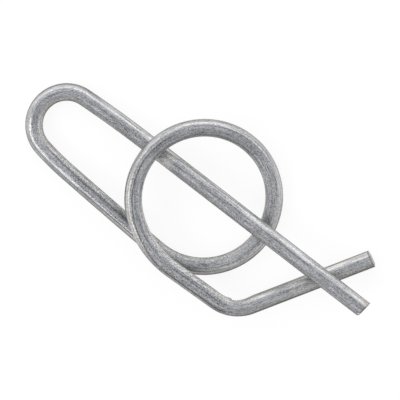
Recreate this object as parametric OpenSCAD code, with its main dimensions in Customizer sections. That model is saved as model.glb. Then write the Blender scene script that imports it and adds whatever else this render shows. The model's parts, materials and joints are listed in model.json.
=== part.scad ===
// Safety cotter pin, bent from one length of round wire.
// The straight leg goes through a shaft's cross hole, the ring lies round the shaft,
// and the hook springs under the leg, so that the pin can't work out.

/* [Wire] */
// Diameter of the drawn wire
wire_d = 3.76; // [2.5:0.01:4.2]
// Clearance between two strands that cross
strand_gap = 0.12; // [0.06:0.01:0.4]

/* [Leg] */
// Straight length of the leg, from its sheared tip
leg_l = 58.8; // [52:0.1:70]
// Angle of the slight bow between the leg and the hairpin
bow_a = 3.6; // [0.5:0.1:6]
// Centreline radius of that bow
bow_r = 250; // [150:1:400]

/* [Hairpin] */
// Inside radius of the hairpin
hairpin_ir = 5.13; // [3.5:0.01:7]
// Angle over which the hairpin flares into the lower leg
flare_a = 6.8; // [2:0.1:12]
// Centreline radius of the flare
flare_r = 63; // [30:1:90]
// Length of the lower leg, from the flare to the ring
lower_l = 25.3; // [20:0.1:32]

/* [Ring] */
// Inside diameter of the ring, for a 25.4 mm shaft
ring_id = 26.25; // [22:0.05:30]
// Angle of the ring that keeps its full roundness
ring_a = 324.5; // [300:0.5:340]
// Distance of the ring's middle from the leg's axis, towards the lower leg
ring_offset = 1.9; // [0:0.05:4]
// Angle over which the ring opens into the straight run to the hook
lead_a = 40; // [20:1:50]
// Centreline radius of that opening
lead_r = 20; // [17:0.1:26]

/* [Hook] */
// Straight run from the ring to the corner
run_l = 11.6; // [8:0.1:17]
// Inside radius of the corner
corner_ir = 6.1; // [3:0.1:9]
// Distance from the leg's tip to the point where the hook passes under it
latch_setback = 11.1; // [8:0.1:16]
// Length of the hook past that point
hook_reach = 10.9; // [6:0.1:16]

/* [Ends] */
// Slope of the sheared faces, away from square
shear_a = 7; // [0:0.5:15]
// Depth of the rolled-over lip where the shear blade went in
lip_d = 0.35; // [0.1:0.05:0.8]

/* [Hidden] */
$fn = 44;

wire_r = wire_d / 2;
strand_pitch = wire_d + strand_gap;
hairpin_r = hairpin_ir + wire_r;
ring_r = ring_id / 2 + wire_r;
corner_r = corner_ir + wire_r;
zinc_grey = [0.66, 0.67, 0.68];

// The ring is a helix, bent as this many plain arcs with a small roll between them
RING_ARCS = 8;

// Every second stretch of wire is thinner by this hair and runs this far into its neighbours
SEAM_STEP = 0.004;
SEAM_LAP = 0.06;

// Slope of the lip against a square end
LIP_A = 50;

// Sides of the wire, as angles from the bend's inside: where each sheared face is cut
// shortest, and where its lip is
LEG_SHORT = 180;
LEG_LIP = 180;
HOOK_SHORT = 65;
HOOK_LIP = 180;

// Places of the stretches in the bending program
LEG = 0;
LOWER = 4;
RING = 5;
LEAD = RING + RING_ARCS;
HOOK = LEAD + 3;

// Places of the values in one step of the program: the roll before it, its bend radius
// (0 for a straight feed), and its bend angle or feed length
ROLL = 0;
RADIUS = 1;
AMOUNT = 2;

// Frames of the wire bender: +Z along the feed, +X towards the middle of the next bend

IDENTITY = [[1, 0, 0, 0], [0, 1, 0, 0], [0, 0, 1, 0], [0, 0, 0, 1]];

function shift(v) = [[1, 0, 0, v.x], [0, 1, 0, v.y], [0, 0, 1, v.z], [0, 0, 0, 1]];
function turn_y(a) = [[cos(a), 0, sin(a), 0], [0, 1, 0, 0], [-sin(a), 0, cos(a), 0], [0, 0, 0, 1]];
function turn_z(a) = [[cos(a), -sin(a), 0, 0], [sin(a), cos(a), 0, 0], [0, 0, 1, 0], [0, 0, 0, 1]];
function place(m) = [m[0][3], m[1][3], m[2][3]];
function heading(m) = [m[0][2], m[1][2], m[2][2]];
function in_degrees(a) = a * 180 / PI;
function unit(v) = v / norm(v);

// Frame after a share u of a step that starts from frame m
function along(m, step, u = 1) =
    let (r = step[RADIUS])
    m * turn_z(step[ROLL]) * (
        r == 0 ? shift([0, 0, u * step[AMOUNT]])
               : shift([r, 0, 0]) * turn_y(u * step[AMOUNT]) * shift([-r, 0, 0])
    );

// Frames at the start of every step, and at the end of the last
function frames(steps) = [
    for (i = 0, m = IDENTITY; i <= len(steps); m = i < len(steps) ? along(m, steps[i]) : m, i = i + 1) m
];

// Frame at a running place u along the wire, such as 5.25 for a quarter of step 5
function frame_at(steps, starts, u) =
    let (i = min(floor(u), len(steps) - 1))
    along(starts[i], steps[i], u - i);

// The bending program up to the hook. The settings are found by trial: the hairpin's angle,
// the lower leg's downward set, the roll into the ring, the ring's rise in a full turn,
// the corner's angle and the roll into the hook.
function program(settings) =
    let (
        hairpin_a = settings[0],
        set_a = settings[1],
        ring_roll = settings[2],
        rise = settings[3] / (2 * PI),
        corner_a = settings[4],
        hook_roll = settings[5],
        arc_r = ring_r + rise * rise / ring_r,
        arc_a = ring_a / RING_ARCS,
        arc_roll = arc_a * rise / ring_r
    )
    concat(
        [
            [0, 0, leg_l],
            [0, bow_r, bow_a],
            [0, hairpin_r, hairpin_a],
            [0, flare_r, flare_a],
            [-90, in_degrees(lower_l / set_a), set_a],
            [90 + ring_roll + arc_roll / 2, arc_r, arc_a]
        ],
        [for (i = [2 : RING_ARCS]) [arc_roll, arc_r, arc_a]],
        [
            [arc_roll / 2, lead_r, lead_a],
            [0, 0, run_l],
            [hook_roll, corner_r, corner_a]
        ]
    );

// Searches

// Value between a and b at which f is least
function least_at(f, a, b, tries = 20) =
    tries == 0 ? (a + b) / 2 :
    let (
        p = a + 0.382 * (b - a),
        q = b - 0.382 * (b - a)
    )
    f(p) < f(q) ? least_at(f, a, q, tries - 1) : least_at(f, p, b, tries - 1);

// Solution of linear equations, each row its coefficients and then its right side
function solved(rows) =
    let (
        first = rows[0],
        n = len(rows)
    )
    n == 1 ? [first[1] / first[0]] :
    let (
        rest = [for (i = [1 : n - 1]) [for (j = [1 : n]) rows[i][j] - rows[i][0] / first[0] * first[j]]],
        tail = solved(rest),
        known = [for (j = [1 : n - 1]) first[j]] * tail
    )
    concat([(first[n] - known) / first[0]], tail);

// Trial bending

// How far the wire is from lying as it should, seen from the leg, whose axis is the Z axis:
// the ring's middle, the three strand gaps at the ring, the latch point and the gap at the hook
function misfit(settings) =
    let (
        steps = program(settings),
        starts = frames(steps),
        at = function(u) place(frame_at(steps, starts, u)),
        from_leg = function(u) norm([at(u).x, at(u).y]),
        middle = place(starts[RING] * turn_z(steps[RING][ROLL]) * shift([ring_r, 0, 0])),
        far_u = least_at(from_leg, RING + 0.1 * RING_ARCS, RING + 0.55 * RING_ARCS),
        near_u = least_at(from_leg, RING + 0.55 * RING_ARCS, LEAD),
        under = function(p) at(least_at(function(v) norm(at(v) - p), LOWER, RING + 0.5)),
        lead_u = least_at(function(u) norm(under(at(u)) - at(u)), LEAD - 0.8, LEAD + 1),
        over_lower = at(lead_u) - under(at(lead_u)),
        start = place(starts[HOOK]),
        way = heading(starts[HOOK]),
        latch = start - way * start.x / way.x
    )
    [
        middle.x - ring_offset,
        -sign(at(far_u).y) * from_leg(far_u) - strand_pitch,
        sign(at(near_u).y) * from_leg(near_u) - strand_pitch,
        sign(over_lower.y) * norm(over_lower) - strand_pitch,
        latch.z - latch_setback,
        (way.x * start.y - way.y * start.x) / norm([way.x, way.y]) - strand_pitch
    ];

// Settings after some trials, each correcting the misfit of the one before
function settled(settings, trials) =
    trials == 0 ? settings :
    let (
        nudge = 0.01,
        n = len(settings),
        now = misfit(settings),
        nudged = function(j) [for (k = [0 : n - 1]) settings[k] + (k == j ? nudge : 0)],
        slopes = [for (j = [0 : n - 1]) (misfit(nudged(j)) - now) / nudge],
        rows = [for (i = [0 : n - 1]) concat([for (s = slopes) s[i]], -now[i])]
    )
    settled(settings + solved(rows), trials - 1);

FIRST_TRY = [165, 9, 0, wire_d, 56, 0];
TRIALS = 5;
bends = program(settled(FIRST_TRY, TRIALS));

// The whole wire: the hook runs straight from the corner, under the leg and past it
hook_frame = frames(bends)[HOOK];
hook_l = hook_reach - place(hook_frame).x / heading(hook_frame).x;
steps = concat(bends, [[0, 0, hook_l]]);
starts = frames(steps);

// Lying at rest

// Frames at even spaces along each stretch
SAMPLES = 40;
stretches = [
    for (i = [0 : len(steps) - 1])
        [for (k = [0 : SAMPLES]) along(starts[i], steps[i], k / SAMPLES)]
];
samples = [for (stretch = stretches) each stretch];

function total(v, i = 0) = i == len(v) - 1 ? v[i] : v[i] + total(v, i + 1);
function length_of(step) =
    step[RADIUS] == 0 ? step[AMOUNT] : step[RADIUS] * step[AMOUNT] * PI / 180;
function middle_of(stretch) = total([for (m = stretch) place(m)]) / len(stretch);
moments = [for (i = [0 : len(steps) - 1]) middle_of(stretches[i]) * length_of(steps[i])];
mass_middle = total(moments) / total([for (step = steps) length_of(step)]);

// The pin rocks across and along the leg until its middle of mass is lowest
ROCK = 12;
ROCK_TRIES = 14;
function up_for(roll, pitch) = [sin(roll), cos(roll) * cos(pitch), cos(roll) * sin(pitch)];
function height(up) = mass_middle * up - min([for (m = samples) place(m) * up]);
function pitch_for(roll) =
    least_at(function(pitch) height(up_for(roll, pitch)), -ROCK, ROCK, ROCK_TRIES);
rest_roll = least_at(function(roll) height(up_for(roll, pitch_for(roll))), -ROCK, ROCK, ROCK_TRIES);

// Axes of the pin as it lies: +Z up from the floor, +X along the leg towards its tip
rest_z = up_for(rest_roll, pitch_for(rest_roll));
leg_way = -heading(starts[LEG]);
rest_x = unit(leg_way - rest_z * (leg_way * rest_z));
rest_y = cross(rest_z, rest_x);

// Reach of the wire's skin along an axis
function skin(m, axis) = wire_r * sqrt(max(0, 1 - pow(heading(m) * axis, 2)));
function low(axis) = min([for (m = samples) place(m) * axis - skin(m, axis)]);
function high(axis) = max([for (m = samples) place(m) * axis + skin(m, axis)]);
function mid(axis) = (low(axis) + high(axis)) / 2;
rest = [
    concat(rest_x, -mid(rest_x)),
    concat(rest_y, -mid(rest_y)),
    concat(rest_z, -low(rest_z)),
    [0, 0, 0, 1]
];

// Length beyond each end for the shear to take off
end_stock = wire_r * tan(shear_a) + wire_r;

module cotter_pin() {
    color(zinc_grey)
        multmatrix(rest)
            difference() {
                wire();
                multmatrix(starts[LEG])
                    rotate([0, 180, 0])
                        shear(LEG_SHORT, LEG_LIP);
                multmatrix(starts[len(steps)])
                    shear(HOOK_SHORT, HOOK_LIP);
            }
}

module wire() {
    for (i = [0 : len(steps) - 1]) {
        lap = i % 2 == 0 ? 0 : SEAM_LAP;
        r = wire_r - (lap > 0 ? SEAM_STEP : 0);
        multmatrix(starts[i] * turn_z(steps[i][ROLL]))
            if (steps[i][RADIUS] == 0)
                straight(steps[i][AMOUNT], r, i == LEG ? end_stock : lap, i == HOOK ? end_stock : lap);
            else
                bend(steps[i][RADIUS], steps[i][AMOUNT], r, lap);
    }
}

// A straight stretch, run past its start and its end
module straight(length, r, before, after) {
    translate([0, 0, -before])
        cylinder(r = r, h = before + length + after);
}

// A bent stretch, run past both ends by lap
module bend(radius, angle, r, lap) {
    lap_a = in_degrees(lap / radius);
    translate([radius, 0, 0])
        rotate([90, 0, 180])
            rotate([0, 0, -lap_a])
                rotate_extrude(angle = angle + 2 * lap_a)
                    translate([radius, 0])
                        circle(r);
}

// What the shear takes off an end that points along +Z: a leaning face, cut shortest at
// the angle short_side, and a bevel at the angle lip_side, where the blade went in
module shear(short_side, lip_side) {
    face_z = -wire_r * tan(shear_a) * cos(lip_side - short_side);
    rotate([0, 0, short_side])
        rotate([0, shear_a, 0])
            beyond();
    rotate([0, 0, lip_side])
        translate([wire_r, 0, face_z - lip_d])
            rotate([0, LIP_A, 0])
                beyond();
}

// The wire's stock past a flat end
module beyond() {
    w = 2 * wire_d;
    translate([-w / 2, -w / 2, 0])
        cube(w);
}

cotter_pin();
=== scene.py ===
"""Cotter pin: the finish of one bent, zinc-coated wire, and the studio that shows it."""

import json
import math
from collections import namedtuple

import bmesh
import bpy
from bpy.props import FloatProperty, FloatVectorProperty, IntProperty, PointerProperty
from mathutils import Matrix, Vector, noise


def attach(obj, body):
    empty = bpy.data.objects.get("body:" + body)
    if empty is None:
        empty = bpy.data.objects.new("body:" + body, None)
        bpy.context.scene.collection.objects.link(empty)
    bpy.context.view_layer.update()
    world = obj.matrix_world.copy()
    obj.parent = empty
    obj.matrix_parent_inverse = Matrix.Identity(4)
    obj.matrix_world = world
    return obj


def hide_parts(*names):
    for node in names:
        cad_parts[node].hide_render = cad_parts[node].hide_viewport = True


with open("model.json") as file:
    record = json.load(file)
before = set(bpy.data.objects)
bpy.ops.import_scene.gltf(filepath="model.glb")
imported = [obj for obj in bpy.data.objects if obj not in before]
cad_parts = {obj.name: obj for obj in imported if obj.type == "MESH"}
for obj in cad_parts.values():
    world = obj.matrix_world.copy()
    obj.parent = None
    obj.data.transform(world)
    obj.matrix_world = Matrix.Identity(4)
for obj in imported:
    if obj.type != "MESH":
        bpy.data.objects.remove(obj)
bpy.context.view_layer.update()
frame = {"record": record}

bl_info = {
    "name": "Cotter Pin",
    "version": (1, 0, 0),
    "blender": (4, 5, 0),
    "location": "View3D > Sidebar > Cotter Pin",
    "description": "Draws, shears and bends a zinc-coated wire into a safety cotter pin",
    "category": "Add Mesh",
}

MM = 0.001
NODE = "cotter_pin"
BODY = "root"
SLOT = "zinc_wire"
PLACE = "place_on_wire"

mounts = {mount["name"]: mount for mount in frame["record"]["mounts"]}
leg_mount = mounts["leg"]
ring_mount = mounts["ring"]


class WireSizes(bpy.types.PropertyGroup):
    """Sizes of the bent wire, in the order in which it is bent from the leg's tip."""

    diameter: FloatProperty(
        name="Wire diameter",
        description="Diameter of the drawn wire",
        default=2 * leg_mount["dims"]["r_mm"] * MM,
        unit="LENGTH",
    )
    leg_length: FloatProperty(
        name="Leg length",
        description="Straight length of the leg from its tip",
        default=leg_mount["dims"]["length_mm"] * MM,
        unit="LENGTH",
    )
    leg_roll: FloatProperty(
        name="Leg roll",
        description="Roll of the hairpin's plane about the leg, up from the floor",
        default=math.radians(2.091),
        subtype="ANGLE",
    )
    bow_radius: FloatProperty(
        name="Bow radius",
        description="Centreline radius of the slight bow before the hairpin",
        default=250 * MM,
        unit="LENGTH",
    )
    bow_angle: FloatProperty(
        name="Bow angle",
        description="Angle of the slight bow before the hairpin",
        default=math.radians(3.6),
        subtype="ANGLE",
    )
    hairpin_radius: FloatProperty(
        name="Hairpin radius",
        description="Inside radius of the hairpin",
        default=5.13 * MM,
        unit="LENGTH",
    )
    hairpin_angle: FloatProperty(
        name="Hairpin angle",
        description="Angle that the hairpin turns",
        default=math.radians(166.014),
        subtype="ANGLE",
    )
    flare_radius: FloatProperty(
        name="Flare radius",
        description="Centreline radius of the flare after the hairpin",
        default=63 * MM,
        unit="LENGTH",
    )
    flare_angle: FloatProperty(
        name="Flare angle",
        description="Angle of the flare after the hairpin",
        default=math.radians(6.8),
        subtype="ANGLE",
    )
    lower_length: FloatProperty(
        name="Lower leg length",
        description="Length of the lower leg, from the flare to the ring",
        default=25.3 * MM,
        unit="LENGTH",
    )
    lower_set: FloatProperty(
        name="Lower leg set",
        description="Angle by which the lower leg is set down towards the floor",
        default=math.radians(9.497),
        subtype="ANGLE",
    )
    ring_inside: FloatProperty(
        name="Ring inside diameter",
        description="Inside diameter of the ring, round the shaft",
        default=2 * ring_mount["dims"]["r_mm"] * MM,
        unit="LENGTH",
    )
    ring_angle: FloatProperty(
        name="Ring angle",
        description="Angle of the ring that keeps its full roundness",
        default=math.radians(324.5),
        subtype="ANGLE",
    )
    ring_roll: FloatProperty(
        name="Ring roll",
        description="Roll of the ring's plane out of the hairpin's",
        default=math.radians(0.4402),
        subtype="ANGLE",
    )
    ring_rise: FloatProperty(
        name="Ring rise",
        description="Rise of the ring in a full turn",
        default=3.8778 * MM,
        unit="LENGTH",
    )
    ring_arcs: IntProperty(
        name="Ring arcs",
        description="Plain arcs that make up the ring's helix",
        default=8,
    )
    lead_radius: FloatProperty(
        name="Lead radius",
        description="Centreline radius where the ring opens into the run",
        default=20 * MM,
        unit="LENGTH",
    )
    lead_angle: FloatProperty(
        name="Lead angle",
        description="Angle over which the ring opens into the run",
        default=math.radians(40),
        subtype="ANGLE",
    )
    run_length: FloatProperty(
        name="Run length",
        description="Straight run from the ring to the corner",
        default=11.6 * MM,
        unit="LENGTH",
    )
    corner_radius: FloatProperty(
        name="Corner radius",
        description="Inside radius of the corner before the hook",
        default=6.1 * MM,
        unit="LENGTH",
    )
    corner_angle: FloatProperty(
        name="Corner angle",
        description="Angle of the corner before the hook",
        default=math.radians(56.9366),
        subtype="ANGLE",
    )
    hook_roll: FloatProperty(
        name="Hook roll",
        description="Roll of the hook's plane out of the ring's",
        default=math.radians(-0.2722),
        subtype="ANGLE",
    )
    hook_length: FloatProperty(
        name="Hook length",
        description="Straight length of the hook from the corner to its tip",
        default=27.4209 * MM,
        unit="LENGTH",
    )


class ZincFinish(bpy.types.PropertyGroup):
    """Colours and texture of the coated wire, and of its painted highlights and shade."""

    coat_colour: FloatVectorProperty(
        name="Zinc coat",
        description="Colour of the dull zinc coat",
        default=(0.342, 0.349, 0.371),
        subtype="COLOR",
    )
    worn_colour: FloatVectorProperty(
        name="Burnished zinc",
        description="Colour of the zinc where the bending tools have burnished it",
        default=(0.518, 0.525, 0.543),
        subtype="COLOR",
    )
    # This colour paints the highlights and reflections on the flanks, and the glint at the leg's tip
    highlight_colour: FloatVectorProperty(
        name="Pale zinc",
        description="Colour of the bright, smooth zinc on the flanks",
        default=(0.715, 0.71, 0.69),
        subtype="COLOR",
    )
    # This colour also paints the shade in bands and low on the flanks
    grime_and_shade_colour: FloatVectorProperty(
        name="Die line",
        description="Colour of the dark residue in the die lines and pits",
        default=(0.165, 0.16, 0.153),
        subtype="COLOR",
    )
    steel_colour: FloatVectorProperty(
        name="Bare steel",
        description="Colour of the bare, faintly rusted steel at the sheared ends",
        default=(0.48, 0.43, 0.36),
        subtype="COLOR",
    )
    torn_colour: FloatVectorProperty(
        name="Torn steel",
        description="Colour of the torn faces of the sheared ends",
        default=(0.48, 0.47, 0.455),
        subtype="COLOR",
    )
    roughness: FloatProperty(
        name="Roughness",
        description="Roughness of the dull coat",
        default=0.55,
        min=0,
        max=1,
    )
    worn_roughness: FloatProperty(
        name="Burnished roughness",
        description="Roughness of the burnished side",
        default=0.34,
        min=0,
        max=1,
    )


class StudioSettings(bpy.types.PropertyGroup):
    """Camera, floor and lamps."""

    aim: FloatVectorProperty(
        name="Aim",
        description="Point at the middle of the picture",
        default=(-0.00033, 0.00004, 0.00824),
        subtype="TRANSLATION",
    )
    azimuth: FloatProperty(
        name="Azimuth",
        description="Direction from which the camera looks, from +X towards +Y",
        default=math.radians(89.862),
        subtype="ANGLE",
    )
    elevation: FloatProperty(
        name="Elevation",
        description="Height of the camera above the horizon",
        default=math.radians(83.77),
        subtype="ANGLE",
    )
    turn: FloatProperty(
        name="Turn",
        description="Turn of the picture about the camera's axis",
        default=math.radians(217.28),
        subtype="ANGLE",
    )
    distance: FloatProperty(
        name="Distance",
        description="Distance of the camera from its aim",
        default=0.8604,
        unit="LENGTH",
    )
    picture_width: FloatProperty(
        name="Picture width",
        description="Width of the picture at the aim",
        default=0.084442,
        unit="LENGTH",
    )
    floor_size: FloatProperty(
        name="Floor size",
        description="Width of the floor",
        default=12.0,
        unit="LENGTH",
    )
    floor_colour: FloatVectorProperty(
        name="Floor colour",
        description="Colour of the pale floor",
        default=(0.8, 0.8, 0.8),
        subtype="COLOR",
    )
    floor_white: FloatProperty(
        name="Floor whiteness",
        description="Share of plain white in the floor where it is seen, which thins its shadow",
        default=0.82,
        min=0,
        max=1,
    )
    floor_glow: FloatProperty(
        name="Floor glow",
        description="Brightness of that white",
        default=1.07,
        min=0,
    )
    ceiling: FloatProperty(
        name="Studio ceiling",
        description="Brightness of the studio overhead",
        default=0.70,
        min=0,
    )
    walls: FloatProperty(
        name="Studio walls",
        description="Mean brightness of the studio at the horizon",
        default=0.95,
        min=0,
    )
    window: FloatProperty(
        name="Window side",
        description="How much brighter than the mean the wall on the lit side is",
        default=0.6,
        min=0,
    )
    window_azimuth: FloatProperty(
        name="Window azimuth",
        description="Direction of the lit side, from the picture's right towards its top",
        default=math.radians(60),
        subtype="ANGLE",
    )


class Shade:
    """A shader socket that Python's operators work on, each one adding a Math node."""

    def __init__(self, tree, socket=None):
        self.tree = tree
        self.socket = socket

    def node(self, kind, inputs, output=0, **settings):
        """Adds any node: first its settings, then the values or links of its sockets."""
        made = self.tree.nodes.new(kind)
        for name, value in settings.items():
            setattr(made, name, value)
        for name, value in inputs.items():
            if isinstance(value, Shade):
                self.tree.links.new(value.socket, made.inputs[name])
            else:
                made.inputs[name].default_value = value
        return Shade(self.tree, made.outputs[output])

    def maths(self, operation, *values, **settings):
        """Adds a Math node."""
        return self.node("ShaderNodeMath", dict(enumerate(values)), operation=operation, **settings)

    def clamped(self):
        """This value, kept from 0 to 1."""
        return self.maths("ADD", self, 0.0, use_clamp=True)

    def limited(self, low, high):
        """This value, kept from low to high."""
        return self.node("ShaderNodeClamp", {"Value": self, "Min": low, "Max": high})

    def rising(self, low, high):
        """Goes smoothly from 0 at low to 1 at high."""
        inputs = {"Value": self, "From Min": low, "From Max": high}
        return self.node("ShaderNodeMapRange", inputs, interpolation_type="SMOOTHSTEP")

    def within(self, low, high, blur):
        """1 from low to high, and falls smoothly to 0 over the blur past each."""
        return self.rising(low - blur, low) * (1 - self.rising(high, high + blur))

    def mixed(self, low, high):
        """Mixes two colours, with this value as the share of the second."""
        inputs = {0: self, 6: opaque(low), 7: opaque(high)}
        return self.node("ShaderNodeMix", inputs, output=2, data_type="RGBA")

    def parts(self):
        """The X, Y and Z of a vector."""
        return [self.node("ShaderNodeSeparateXYZ", {0: self}, output=axis) for axis in "XYZ"]

    def stretched(self, *factors):
        """A vector with its X, Y and Z multiplied by the factors."""
        return self.node("ShaderNodeVectorMath", {0: self, 1: factors}, operation="MULTIPLY")

    def noise(self, texture):
        """Noise of a texture at a place on the wire, from 0 to 1."""
        inputs = {
            "Vector": self.stretched(1, 1, texture.squash),
            "Scale": texture.scale,
            "Detail": texture.detail,
            "Roughness": texture.roughness,
        }
        return self.node("ShaderNodeTexNoise", inputs)

    def __add__(self, other):
        return self.maths("ADD", self, other)

    def __radd__(self, other):
        return self.maths("ADD", other, self)

    def __sub__(self, other):
        return self.maths("SUBTRACT", self, other)

    def __rsub__(self, other):
        return self.maths("SUBTRACT", other, self)

    def __mul__(self, other):
        return self.maths("MULTIPLY", self, other)

    def __rmul__(self, other):
        return self.maths("MULTIPLY", other, self)

    def __truediv__(self, other):
        return self.maths("DIVIDE", self, other)

    def __abs__(self):
        return self.maths("ABSOLUTE", self)


def opaque(colour):
    """A colour with full alpha, or a socket as it is."""
    return colour if isinstance(colour, Shade) else (*colour, 1.0)


# The bending program

# A stretch of the wire: its start along the wire and the frame there, the angle round the wire
# towards which it bends, the radius of the bend, which is 0 if it is straight, and its length
Stretch = namedtuple("Stretch", "start frame toward radius length")


def bending_program(wire):
    """Steps of the wire bender from the leg's tip: roll, bend radius, and angle or length."""
    half = wire.diameter / 2
    ring_radius = wire.ring_inside / 2 + half
    rise = wire.ring_rise / (2 * math.pi)
    arc_radius = ring_radius + rise * rise / ring_radius
    arc_angle = wire.ring_angle / wire.ring_arcs
    arc_roll = arc_angle * rise / ring_radius
    quarter = math.pi / 2
    steps = [
        (0, 0, wire.leg_length),
        (0, wire.bow_radius, wire.bow_angle),
        (0, wire.hairpin_radius + half, wire.hairpin_angle),
        (0, wire.flare_radius, wire.flare_angle),
        (-quarter, wire.lower_length / wire.lower_set, wire.lower_set),
        (quarter + wire.ring_roll + arc_roll / 2, arc_radius, arc_angle),
    ]
    steps += [(arc_roll, arc_radius, arc_angle)] * (wire.ring_arcs - 1)
    steps += [
        (arc_roll / 2, wire.lead_radius, wire.lead_angle),
        (0, 0, wire.run_length),
        (wire.hook_roll, wire.corner_radius + half, wire.corner_angle),
        (0, 0, wire.hook_length),
    ]
    return steps


def leg_frame(wire):
    """Frame at the leg's tip: +Z along the wire, +X towards the middle of the hairpin."""
    tip_way = Vector(leg_mount["axis"]).normalized()
    feed = -tip_way
    level = feed.cross(Vector((0, 0, 1))).normalized()
    level = -level if level.y > 0 else level
    across = Matrix.Rotation(wire.leg_roll, 3, feed) @ level
    axes = Matrix((across, feed.cross(across), feed)).transposed().to_4x4()
    return Matrix.Translation(leg_mount["pos_m"]) @ axes


def stretches_of(wire):
    """The wire's stretches, with the frame at each start, free of the bender's rolls."""
    made = []
    start, turned = 0.0, 0.0
    at = leg_frame(wire)
    for roll, radius, amount in bending_program(wire):
        turned += roll
        length = radius * amount if radius else amount
        made.append(Stretch(start, at, turned, radius, length))
        at = frame_at(made, start + length)
        start += length
    return made


def frame_at(stretches, along):
    """Frame of the bent wire at a length along it. Both ends run on straight."""
    here = stretches[0]
    for stretch in stretches:
        if along > stretch.start:
            here = stretch
    past = along - here.start
    if not here.radius:
        return here.frame @ Matrix.Translation((0, 0, past))
    turn = Matrix.Rotation(here.toward, 4, "Z")
    aside = Matrix.Translation((here.radius, 0, 0))
    swing = aside @ Matrix.Rotation(past / here.radius, 4, "Y") @ aside.inverted()
    return here.frame @ turn @ swing @ turn.inverted()


# The wire: how far its skin lies inside the solid's, the angle from which an edge is sharp, the
# length of a slice, the sides round it, and the stock past each end that is sheared off

SKIN = 0.007 * MM
SHARP = math.radians(35)
SLICE = 0.4 * MM
SIDES = 96
END_STOCK = 3 * MM


def straight_stock(bm, length, radius):
    """Straight wire along Z, with stock past both ends, as one line spun into a tube."""
    ends = [bm.verts.new((radius, 0, z)) for z in (-END_STOCK, length + END_STOCK)]
    line = bm.edges.new(ends)
    slices = round((length + 2 * END_STOCK) / SLICE)
    bmesh.ops.subdivide_edges(bm, edges=[line], cuts=slices - 1)
    bmesh.ops.spin(
        bm,
        geom=bm.verts[:] + bm.edges[:],
        cent=(0, 0, 0),
        axis=(0, 0, 1),
        angle=2 * math.pi,
        steps=SIDES,
        use_merge=True,
    )
    bmesh.ops.recalc_face_normals(bm, faces=bm.faces[:])


# A sheared end: its place along the wire, which way is out, the slant of its face, the side on
# which that is shortest, and the side with the lip
End = namedtuple("End", "place out slant short_side lip_side")
LEG_SLANT = math.radians(7)
HOOK_SLANT = math.radians(9.5)
HOOK_SHORT_SIDE = math.radians(57)
LIP_ANGLE = math.radians(50)
LIP_DEPTH = 0.35 * MM
EDGE_BREAK = 0.05 * MM
WELD = 0.02 * MM


def ends_of(stretches):
    """The leg's end, cut nearly square, and the hook's, cut to face up a little."""
    last = stretches[-1]
    leg_end = End(place=0.0, out=-1, slant=LEG_SLANT, short_side=0.0, lip_side=0.0)
    hook_end = End(
        place=last.start + last.length,
        out=1,
        slant=HOOK_SLANT,
        short_side=last.toward + HOOK_SHORT_SIDE,
        lip_side=last.toward + math.pi,
    )
    return leg_end, hook_end


def shear(bm, end, radius):
    """Shears an end of the straight wire, bevels a lip on one side and tears the face."""
    drop = radius * math.tan(end.slant)
    cut_and_fill(bm, Vector((0, 0, end.place)), tilted(end.short_side, end.slant, end.out))
    lip_z = end.place - end.out * (drop * math.cos(end.lip_side - end.short_side) + LIP_DEPTH)
    lip_place = Vector((radius * math.cos(end.lip_side), radius * math.sin(end.lip_side), lip_z))
    cut_and_fill(bm, lip_place, tilted(end.lip_side, LIP_ANGLE, end.out))
    bmesh.ops.bevel(
        bm,
        geom=list({edge for face in flats(bm, end.place) for edge in face.edges}),
        offset=EDGE_BREAK,
        offset_type="OFFSET",
        affect="EDGES",
        segments=2,
        profile=0.5,
        material=-1,
        clamp_overlap=True,
    )
    tear(bm, end, radius)


def tilted(side, angle, out):
    """Way out of an end, leaning by an angle towards a side of the wire."""
    lean = math.sin(angle)
    return Vector((lean * math.cos(side), lean * math.sin(side), out * math.cos(angle)))


def cut_and_fill(bm, place, way):
    """Cuts the wire off flat past a place and fills the cut with one face."""
    near = [vert for vert in bm.verts if abs(vert.co.z - place.z) < 2 * END_STOCK]
    edges = {edge for vert in near for edge in vert.link_edges}
    faces = {face for vert in near for face in vert.link_faces}
    cut = bmesh.ops.bisect_plane(
        bm,
        geom=near + list(edges) + list(faces),
        dist=WELD,
        plane_co=place,
        plane_no=way,
        use_snap_center=True,
        clear_outer=True,
    )
    rim = [part for part in cut["geom_cut"] if isinstance(part, bmesh.types.BMEdge)]
    bmesh.ops.edgeloop_fill(bm, edges=rim)


def flats(bm, end_z):
    """Flat cut faces at an end of the wire, told by their many sides."""
    flat = [face for face in bm.faces if len(face.verts) > 5]
    return [face for face in flat if abs(face.verts[0].co.z - end_z) < END_STOCK]


# The torn face of an end: its rings of faces, the depth and grain of the tear, and the step in
# it: its place as a share of the radius, and the share of the depth that is left past it
FACE_RINGS = 7
TEAR_DEPTH = 0.10 * MM
TEAR_GRAIN = 0.5 * MM
STEP_PLACE = 0.25
STEP_SHARE = 0.35


def tear(bm, end, radius):
    """Roughens a sheared face, where the last of the wire tore off and left a low step."""
    face = max(flats(bm, end.place), key=lambda flat: flat.calc_area())
    rim = set(face.verts)
    torn = set()
    for _ in range(FACE_RINGS):
        inset = bmesh.ops.inset_region(
            bm, faces=[face], thickness=radius / (FACE_RINGS + 1), use_even_offset=False
        )
        torn.update(vert for part in inset["faces"] for vert in part.verts)
    poked = bmesh.ops.poke(bm, faces=[face])
    torn.update(poked["verts"])
    across = Vector((math.cos(end.short_side), math.sin(end.short_side), 0))
    for vert in torn - rim:
        grain = noise.noise(vert.co / TEAR_GRAIN) * 0.5 + 0.5
        step = 1.0 if vert.co.dot(across) > STEP_PLACE * radius else STEP_SHARE
        vert.co.z -= end.out * TEAR_DEPTH * grain * step


# The mark of the bending anvil, on the inside of the corner: its edge along the wire, the length
# over which it deepens, how far it fades along the hook, half its width as an angle, its depth
ANVIL_EDGE = 241.4 * MM
ANVIL_STEP = 0.5 * MM
ANVIL_FADE = 6.0 * MM
ANVIL_HALF = math.radians(65)
ANVIL_DEPTH = 0.42 * MM


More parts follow.
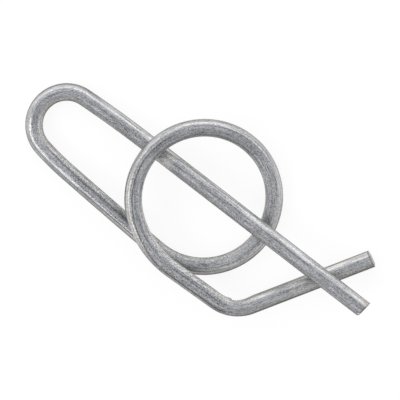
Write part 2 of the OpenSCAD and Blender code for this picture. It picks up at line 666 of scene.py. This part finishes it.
def anvil_depth(along, angle, inside):
    """Depth of the anvil's mark at a place on the straight wire."""
    past = along - ANVIL_EDGE
    aside = math.remainder(angle - inside, 2 * math.pi) / ANVIL_HALF
    if not 0 < past < ANVIL_FADE or abs(aside) > 1:
        return 0.0
    profile = min(past / ANVIL_STEP, 1.0) * (1 - past / ANVIL_FADE)
    return ANVIL_DEPTH * profile * math.cos(aside * math.pi / 2)


# A line that the drawing die left: where it starts and ends along the straight wire in mm, the
# angles round the wire there in degrees, and its width and depth in mm
DieLine = namedtuple("DieLine", "start end start_angle end_angle width depth")
DIE_LINES = (
    DieLine(12, 18, 135, 134, 0.20, 0.011),
    DieLine(13, 29, 104, 102, 0.22, 0.012),
    DieLine(37, 51, 143, 142, 0.20, 0.004),
    DieLine(58, 76, 139, 136, 0.20, 0.012),
    DieLine(70, 86, 22, 24, 0.70, 0.006),
    DieLine(92, 124, 64, 70, 0.45, 0.010),
    DieLine(106, 126, 122, 123, 0.24, 0.016),
    DieLine(128, 152, 148, 150, 0.90, 0.012),
    DieLine(152, 176, 78, 84, 0.26, 0.010),
    DieLine(172, 198, 42, 45, 0.90, 0.008),
    DieLine(190, 213, 103, 114, 0.24, 0.016),
    DieLine(211, 225, 112, 144, 0.36, 0.024),
    DieLine(224, 242, 144, 143, 0.42, 0.027),
    DieLine(226, 243, 96, 92, 0.20, 0.010),
    DieLine(244, 276, 165, 167, 0.80, 0.014),
)
# Share of a die line over which each end deepens
LINE_TAPER = 1 / 6


def groove_depth(along, angle, radius):
    """Depth of the die lines at a place on the straight wire."""
    depth = 0.0
    for line in DIE_LINES:
        share = (along / MM - line.start) / (line.end - line.start)
        if not 0 < share < 1:
            continue
        middle = math.radians(line.start_angle + share * (line.end_angle - line.start_angle))
        aside = abs(math.remainder(angle - middle, 2 * math.pi)) * radius / (line.width * MM / 2)
        if aside < 1:
            taper = min(1.0, share / LINE_TAPER, (1 - share) / LINE_TAPER)
            depth = max(depth, line.depth * MM * taper * (1 - aside * aside))
    return depth


# Share of the radius past which a place is on the wire's skin, and not on a sheared face
SKIN_SHARE = 0.97


def bend(bm, stretches, radius):
    """Presses the marks into the straight wire, notes each place on it, and bends it."""
    note = bm.verts.layers.float_vector.new(PLACE)
    inside = stretches[-1].toward
    for vert in bm.verts:
        along = vert.co.z
        across = Vector((vert.co.x, vert.co.y, 0))
        vert[note] = vert.co
        if across.length > SKIN_SHARE * radius:
            angle = math.atan2(across.y, across.x)
            depth = groove_depth(along, angle, radius) + anvil_depth(along, angle, inside)
            across *= 1 - depth / radius
        vert.co = frame_at(stretches, along) @ across


# The zinc finish, painted on the straight wire: lengths along it in mm, and angles round it in
# degrees, which are 0 inside the hairpin, 90 on top and 180 outside

# A part of the wire: where its finish starts and ends, and the length over which it fades out
Part = namedtuple("Part", "start end fade")
PAST_END = 300
LEG = Part(-10, 66, 10)
PAST_TIP = Part(26, PAST_END, 12)
LOWER_LEG = Part(80, 150, 12)
RING = Part(170, 218, 10)
RUN = Part(216, PAST_END, 14)
PAST_RING = Part(228, PAST_END, 10)
HOOK = Part(250, PAST_END, 12)

# A band along a part: the angles between which it is full, the blur past them, and its share
Band = namedtuple("Band", "part low high blur share")
# Bands of painted highlight and reflection
HIGHLIGHT_BANDS = (
    Band(LEG, 140, 154, 14, 0.24),
    Band(PAST_TIP, 32, 50, 12, 0.11),
    Band(Part(89, 97, 3), 106, 118, 10, 0.40),
    Band(Part(138, 158, 8), 102, 120, 10, 0.20),
    Band(Part(146, 156, 4), 112, 140, 12, 0.30),
    Band(Part(207, 216, 5), 138, 156, 10, 0.95),
    Band(HOOK, 112, 140, 12, 0.18),
)
# Painted light that lifts the shadow where another strand crosses the wire
SHADOW_LIFT_BANDS = (
    Band(Part(52, 56, 2), 10, 170, 30, 0.60),
    Band(Part(256, 267, 2), 10, 170, 30, 0.26),
)
# Bands of painted shade, on flanks that face away from the light
SHADE_BANDS = (
    Band(LEG, -15, 12, 28, 0.40),
    Band(LEG, 70, 86, 14, 0.20),
    Band(Part(76, 84, 8), -15, 12, 28, 0.45),
    Band(LOWER_LEG, 160, 185, 26, 0.95),
    Band(Part(174, 204, 8), -15, 12, 28, 0.55),
    Band(HOOK, 160, 185, 26, 1.00),
    Band(HOOK, 0, 22, 25, 0.85),
)
NICK_BAND = Band(Part(ANVIL_EDGE / MM - 0.1, ANVIL_EDGE / MM + 0.7, 0.4), -10, 34, 24, 0.55)

# A texture: its squash along the wire, which draws it out, its scale for a mm, detail, roughness
Texture = namedtuple("Texture", "squash scale detail roughness")
SPECKLE = Texture(0.5, 5.8, 2, 0.6)
MOTTLE = Texture(0.35, 0.9, 3, 0.6)
STREAKS = Texture(0.06, 2.4, 3, 0.6)
HAIRLINES = Texture(0.02, 6.0, 3, 0.6)
SCORES = Texture(0.07, 3.0, 2, 0.6)
PITS = Texture(0.6, 2.2, 2, 0.5)

# A place on the straight wire as sockets, with its share of the radius and of a torn face
Spot = namedtuple("Spot", "x y along angle from_axis torn")


def spot_at(place, radius):
    """Sockets for a place on the straight wire, given in mm."""
    x, y, along = place.parts()
    angle = 90 - x.maths("ARCTAN2", x, y) * (180 / math.pi)
    from_axis = y.maths("SQRT", x * x + y * y) / (radius / MM)
    torn = 1 - from_axis.rising(0.95, 0.99)
    return Spot(x, y, along, angle, from_axis, torn)


def banded(spot, bands):
    """Sum of the bands at a place."""
    return sum(
        spot.along.within(*band.part) * spot.angle.within(band.low, band.high, band.blur) * band.share
        for band in bands
    )


def burnish(spot):
    """Share of burnished zinc: on the outside as far as the ring, and inside the hook."""
    ring = spot.along.within(*RING)
    outside = spot.angle.rising(ring * 22 + 98, ring * 28 + 120)
    outside = outside * (1 - spot.angle.rising(ring * 50 + 140, ring * 55 + 175))
    outside = outside * (1 - spot.along.within(*PAST_RING))
    inside = spot.angle.within(0, 60, 30) * spot.along.within(*HOOK)
    return outside * (spot.along.within(*LOWER_LEG) * 0.25 + 0.68) + inside * 0.72


def painted_highlights(spot):
    """Share of painted highlights: on the inner flank, which turns up past the ring, and in bands."""
    run = spot.along.within(*RUN)
    flank = (1 - spot.angle.rising(run * 12 + 40, run * 12 + 64)) * spot.angle.rising(-60, -10)
    hairpin = spot.along.within(86, 93, 8)
    inner = hairpin * 0.2 + spot.along.within(*LOWER_LEG) * 0.22 + run * 0.6 + 0.04
    return inner * flank + banded(spot, HIGHLIGHT_BANDS + SHADOW_LIFT_BANDS)


def painted_shade(spot):
    """Share of painted shade: in bands, and low on both flanks and underneath."""
    flanks = 1 - spot.angle.within(26, 158, 16)
    return banded(spot, SHADE_BANDS) + flanks * 0.42


# Depth in mm at which a die line is full of dark residue, and the share over which its ends fade
DARK_DEPTH = 0.018
LINE_FADE = 0.15


def die_line_mask(spot, radius):
    """Share of dark residue from the die lines, from 0 to 1."""
    mask = 0.0
    for line in DIE_LINES:
        share = (spot.along - line.start) / (line.end - line.start)
        middle = share * (line.end_angle - line.start_angle) + line.start_angle
        aside = abs(spot.angle - middle) * (math.radians(1) * radius / MM)
        strength = (1 - aside.rising(0.2 * line.width, 0.75 * line.width)) * (line.depth / DARK_DEPTH)
        mask = strength * share.within(LINE_FADE, 1 - LINE_FADE, LINE_FADE) + mask
    return mask.clamped()


def from_end(spot, end):
    """Distance in mm from a sheared end's slanting face."""
    slope = math.tan(end.slant)
    slant = spot.x * (slope * math.cos(end.short_side)) + spot.y * (slope * math.sin(end.short_side))
    return abs(spot.along - end.place / MM) - slant


def zinc_material(finish, radius, ends):
    """The worn zinc coat, with its draw lines, burnished sides and burred ends, and painted
    highlights and shade.
    """
    material = bpy.data.materials.new(SLOT)
    material.use_nodes = True
    tree = material.node_tree
    shader = tree.nodes["Principled BSDF"]
    graph = Shade(tree)
    place = graph.node("ShaderNodeAttribute", {}, output="Vector", attribute_name=PLACE)
    place = place.stretched(1 / MM, 1 / MM, 1 / MM)
    spot = spot_at(place, radius)

    speckle = place.noise(SPECKLE) - 0.5
    mottle = place.noise(MOTTLE) - 0.5
    streaks = place.noise(STREAKS) - 0.5
    hairlines = place.noise(HAIRLINES) - 0.5
    scores = place.noise(SCORES).rising(0.58, 0.70)
    pits = place.noise(PITS).rising(0.66, 0.74)
    lines = die_line_mask(spot, radius)
    worn = (burnish(spot) + streaks + mottle * 0.35).clamped() * (1 - spot.torn)

    from_leg_end, from_hook_end = (from_end(spot, end) for end in ends)
    leg_edge = 1 - from_leg_end.rising(0.08, 0.34)
    hook_edge = 1 - from_hook_end.rising(0.08, 0.34)
    rim = 1 - from_leg_end.rising(0.3, 0.6)
    # A painted highlight at the rim of the leg's tip
    painted_glint = rim * spot.angle.within(42, 52, 9) * spot.from_axis.rising(0.7, 0.9)
    burrs = leg_edge * (1 - painted_glint) * 0.8 + hook_edge * (1 - spot.torn) * 0.85
    bare = (1 - spot.along.rising(0.6, 2.8 + mottle * 7)) * spot.angle.within(126, 190, 32) * 0.5
    thin = (1 - spot.angle.within(58, 118, 24)) * 0.14

    coat = worn.mixed(finish.coat_colour, finish.worn_colour)
    # Painted highlights, reflections and the glint at the leg's tip lighten the coat here
    coat = (painted_highlights(spot) + painted_glint).clamped().mixed(coat, finish.highlight_colour)
    coat = (bare + thin).clamped().mixed(coat, finish.steel_colour)
    coat = (spot.torn * (1 - painted_glint)).mixed(coat, finish.torn_colour)
    # marks holds the die lines, pits, scores and nick, and also the painted shade
    marks = lines * 0.9 + pits * 0.5 + scores * 0.36 + banded(spot, [NICK_BAND]) + painted_shade(spot)
    dark = (marks * (1 - spot.torn) + burrs).clamped()
    colour = dark.mixed(coat, finish.grime_and_shade_colour)
    coarse = spot.along.within(88, 112, 8) * 0.4 + spot.along.within(220, 238, 6) * 0.6
    grain = coarse - spot.along.within(*HOOK) * 0.5 + 2.9
    tone = 1 + speckle * (grain - worn * 1.5) + streaks * 1.2 + hairlines * 1.3 + mottle * 0.3
    tone = tone.limited(0.3, 1.7)
    colour = graph.node("ShaderNodeVectorMath", {0: colour, 1: tone}, operation="MULTIPLY")
    tree.links.new(colour.socket, shader.inputs["Base Color"])

    rough = finish.roughness + worn * (finish.worn_roughness - finish.roughness) - speckle * 0.3
    tree.links.new(rough.socket, shader.inputs["Roughness"])
    shader.inputs["Metallic"].default_value = 0.9

    relief = hairlines * 0.6 + streaks * 0.6 + speckle * 0.8 - lines * 0.5 - pits * 0.4
    bump = graph.node(
        "ShaderNodeBump", {"Height": relief, "Strength": 0.5, "Distance": 0.03 * MM}
    )
    tree.links.new(bump.socket, shader.inputs["Normal"])
    return material


class PIN_OT_wire(bpy.types.Operator):
    """Draws the straight wire, shears its ends, bends it and gives it its zinc finish"""

    bl_idname = "pin.wire"
    bl_label = "Bend Wire"

    def execute(self, context):
        wire = context.scene.pin_wire
        radius = wire.diameter / 2 - SKIN
        stretches = stretches_of(wire)
        ends = ends_of(stretches)
        bm = bmesh.new()
        straight_stock(bm, ends[1].place, radius)
        for end in ends:
            shear(bm, end, radius)
        bend(bm, stretches, radius)
        bmesh.ops.recalc_face_normals(bm, faces=bm.faces[:])
        if not all(edge.is_manifold for edge in bm.edges):
            raise RuntimeError("the wire's surface isn't closed")
        mesh = bpy.data.meshes.new("bent_wire")
        bm.to_mesh(mesh)
        bm.free()
        mesh.shade_smooth()
        mesh.set_sharp_from_angle(angle=SHARP)
        piece = bpy.data.objects.new("bent_wire", mesh)
        context.scene.collection.objects.link(piece)
        mesh.materials.append(zinc_material(context.scene.pin_finish, radius, ends))
        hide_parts(NODE)
        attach(piece, BODY)
        return {"FINISHED"}


# The studio

# A softbox: its direction in degrees, from the picture's right towards its top and up from its
# plane, its distance, width and height in metres, and its brightness
Lamp = namedtuple("Lamp", "name azimuth elevation distance width height brightness")
LAMPS = (
    Lamp("top_softbox", 80, 28, 0.7, 0.8, 0.36, 0.60),
    Lamp("right_softbox", 25, 30, 0.7, 0.4, 0.30, 0.30),
    Lamp("back_softbox", 138, 38, 0.7, 0.4, 0.36, 1.1),
    Lamp("left_softbox", 208, 42, 0.7, 0.7, 0.22, 2.6),
)

# Rays that see the floor partly white. To all the others it is plain pale paint
SEEN_BY = ("Is Camera Ray", "Is Glossy Ray", "Is Transmission Ray")


def picture_frame(studio):
    """Camera axes: right, up and back towards the camera, as a rotation."""
    flat = math.cos(studio.elevation)
    back = Vector((
        flat * math.cos(studio.azimuth),
        flat * math.sin(studio.azimuth),
        math.sin(studio.elevation),
    ))
    level = Vector((0, 0, 1)).cross(back).normalized()
    rise = back.cross(level)
    axes = Matrix((level, rise, back)).transposed()
    return axes @ Matrix.Rotation(studio.turn, 3, "Z")


class PIN_OT_studio(bpy.types.Operator):
    """Sets up the pale floor, the soft lamps and the camera"""

    bl_idname = "pin.studio"
    bl_label = "Set Up Studio"

    def execute(self, context):
        studio = context.scene.pin_studio
        axes = picture_frame(studio)
        self.floor(context, studio)
        self.camera(context, studio, axes)
        for lamp in LAMPS:
            self.softbox(context, studio, axes, lamp)
        self.walls(context, studio, axes)
        context.scene.view_settings.view_transform = "Standard"
        return {"FINISHED"}

    def camera(self, context, studio, axes):
        """A camera that sees the picture's width at its aim."""
        data = bpy.data.cameras.new("camera")
        data.sensor_width = 36
        data.lens = data.sensor_width * studio.distance / studio.picture_width
        data.clip_start, data.clip_end = 0.01, 100
        camera = bpy.data.objects.new("camera", data)
        place = Vector(studio.aim) + axes.col[2] * studio.distance
        camera.matrix_world = Matrix.Translation(place) @ axes.to_4x4()
        context.scene.collection.objects.link(camera)
        context.scene.camera = camera

    def floor(self, context, studio):
        """A wide flat floor under the pin."""
        bm = bmesh.new()
        bmesh.ops.create_grid(bm, x_segments=1, y_segments=1, size=studio.floor_size / 2)
        mesh = bpy.data.meshes.new("floor")
        bm.to_mesh(mesh)
        bm.free()
        mesh.materials.append(self.floor_material(studio))
        floor = bpy.data.objects.new("floor", mesh)
        context.scene.collection.objects.link(floor)

    def floor_material(self, studio):
        """Pale paint, mixed with plain white where it is seen."""
        material = bpy.data.materials.new("pale_floor")
        material.use_nodes = True
        tree = material.node_tree
        graph = Shade(tree)
        tree.nodes.remove(tree.nodes["Principled BSDF"])
        seen = sum(graph.node("ShaderNodeLightPath", {}, output=ray) for ray in SEEN_BY)
        paint = graph.node("ShaderNodeBsdfDiffuse", {"Color": opaque(studio.floor_colour)})
        light = graph.node("ShaderNodeEmission", {"Strength": studio.floor_glow})
        share = seen.clamped() * studio.floor_white
        both = graph.node("ShaderNodeMixShader", {0: share, 1: paint, 2: light})
        tree.links.new(both.socket, tree.nodes["Material Output"].inputs["Surface"])
        return material

    def softbox(self, context, studio, axes, lamp):
        """A softbox at an azimuth in the picture and an elevation above the picture's plane."""
        azimuth, elevation = math.radians(lamp.azimuth), math.radians(lamp.elevation)
        flat = math.cos(elevation)
        way = axes @ Vector((
            flat * math.cos(azimuth),
            flat * math.sin(azimuth),
            math.sin(elevation),
        ))
        data = bpy.data.lights.new(lamp.name, "AREA")
        data.shape = "RECTANGLE"
        data.size, data.size_y = lamp.width, lamp.height
        data.energy = math.pi * lamp.width * lamp.height * lamp.brightness
        softbox = bpy.data.objects.new(lamp.name, data)
        softbox.location = Vector(studio.aim) + way * lamp.distance
        if softbox.location.z <= 0:
            raise ValueError(f"{lamp.name} is under the floor")
        softbox.rotation_euler = way.to_track_quat("Z", "Y").to_euler()
        context.scene.collection.objects.link(softbox)

    def walls(self, context, studio, axes):
        """A studio with walls brighter on one side than on the other."""
        world = bpy.data.worlds.new("studio")
        context.scene.world = world
        world.use_nodes = True
        tree = world.node_tree
        graph = Shade(tree)
        way = graph.node("ShaderNodeTexCoord", {}, output="Generated")
        height = way.parts()[2]
        lit_way = axes @ Vector((math.cos(studio.window_azimuth), math.sin(studio.window_azimuth), 0))
        facing = graph.node(
            "ShaderNodeVectorMath", {0: way, 1: lit_way}, output="Value", operation="DOT_PRODUCT"
        )
        side = facing * studio.window + studio.walls
        strength = side + height.rising(0.0, 1.0) * (studio.ceiling - side)
        tree.links.new(strength.socket, tree.nodes["Background"].inputs["Color"])
        tree.nodes["Background"].inputs["Strength"].default_value = 1


class PIN_PT_sidebar(bpy.types.Panel):
    """Lists the steps that make the pin and its studio"""

    bl_idname = "PIN_PT_sidebar"
    bl_label = "Cotter Pin"
    bl_space_type = "VIEW_3D"
    bl_region_type = "UI"
    bl_category = "Cotter Pin"

    def draw(self, context):
        self.layout.operator(PIN_OT_wire.bl_idname)
        self.layout.operator(PIN_OT_studio.bl_idname)


CLASSES = (WireSizes, ZincFinish, StudioSettings, PIN_OT_wire, PIN_OT_studio, PIN_PT_sidebar)


def register():
    """Registers the classes and puts their settings on the scene."""
    for cls in CLASSES:
        bpy.utils.register_class(cls)
    bpy.types.Scene.pin_wire = PointerProperty(type=WireSizes)
    bpy.types.Scene.pin_finish = PointerProperty(type=ZincFinish)
    bpy.types.Scene.pin_studio = PointerProperty(type=StudioSettings)


def unregister():
    """Takes the settings and the classes away again."""
    del bpy.types.Scene.pin_studio
    del bpy.types.Scene.pin_finish
    del bpy.types.Scene.pin_wire
    for cls in reversed(CLASSES):
        bpy.utils.unregister_class(cls)


def main():
    """Makes the pin and its studio."""
    register()
    bpy.ops.pin.wire()
    bpy.ops.pin.studio()
    bpy.context.view_layer.update()


if __name__ == "__main__":
    main()
